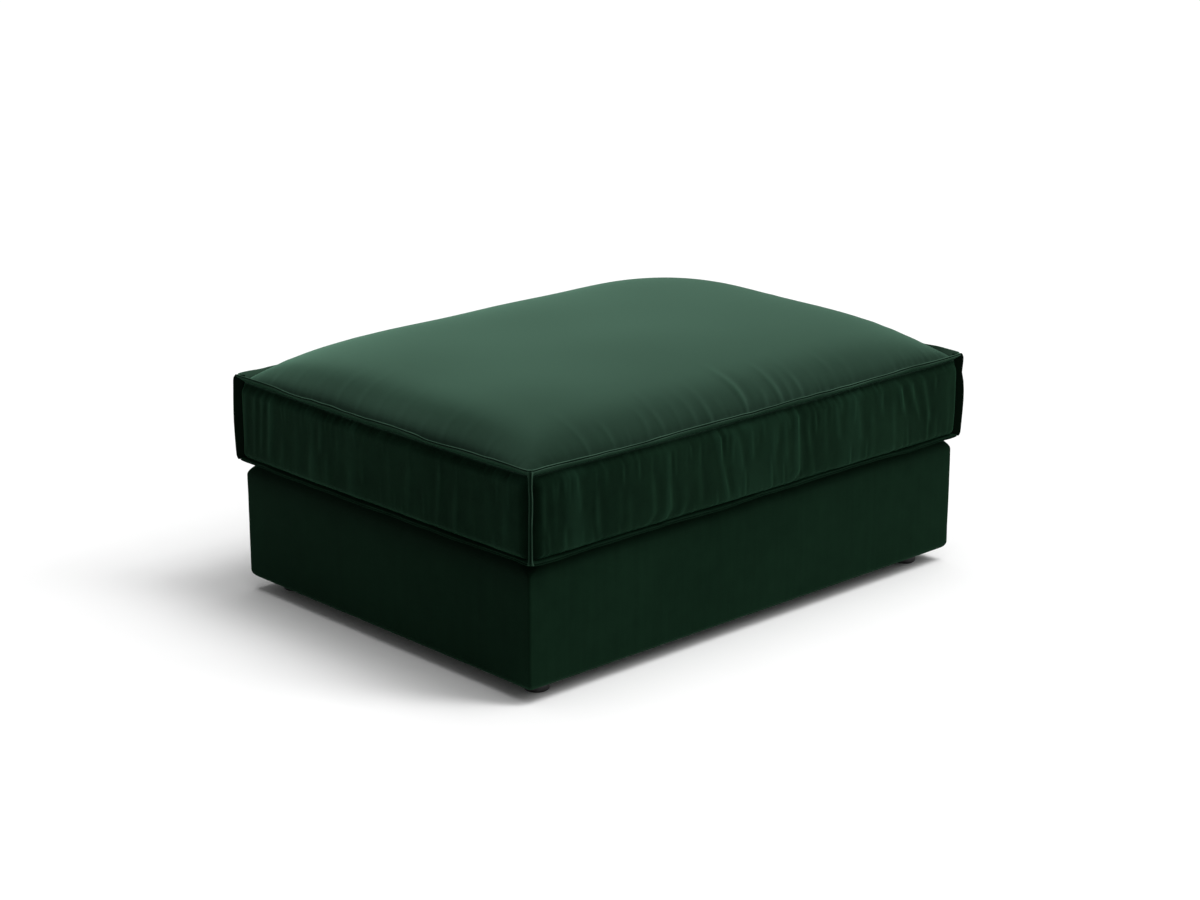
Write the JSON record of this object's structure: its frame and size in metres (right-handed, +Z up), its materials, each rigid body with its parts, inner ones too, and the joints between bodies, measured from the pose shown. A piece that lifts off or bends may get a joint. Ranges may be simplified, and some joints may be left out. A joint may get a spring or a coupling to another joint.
{
  "type": "pouf with a loose box cushion on an upholstered base",
  "caption": "Rectangular pouf: a loose, crowned box cushion with wide flange seams on a low upholstered base with round feet.",
  "frame": {"origin": "on the floor, under the middle of the pouf", "axes": "+X along the long side, +Y from the front long side to the back, +Z up"},
  "size_m": [1.0168, 0.7608, 0.4537],
  "materials": {
    "cushion_velvet": "dark green short-pile velvet",
    "base_velvet": "dark green short-pile velvet, stretched smooth",
    "foot_plastic": "black moulded plastic, satin"
  },
  "bodies": {
    "root": {"base": "base_velvet", "cushion": "cushion_velvet", "top_flange": "cushion_velvet", "bottom_flange": "cushion_velvet", "corner_flange_front_left": "cushion_velvet", "corner_flange_front_right": "cushion_velvet", "corner_flange_back_right": "cushion_velvet", "corner_flange_back_left": "cushion_velvet", "foot_front_left": "foot_plastic", "foot_front_right": "foot_plastic", "foot_back_right": "foot_plastic", "foot_back_left": "foot_plastic"}
  },
  "joints": []
}
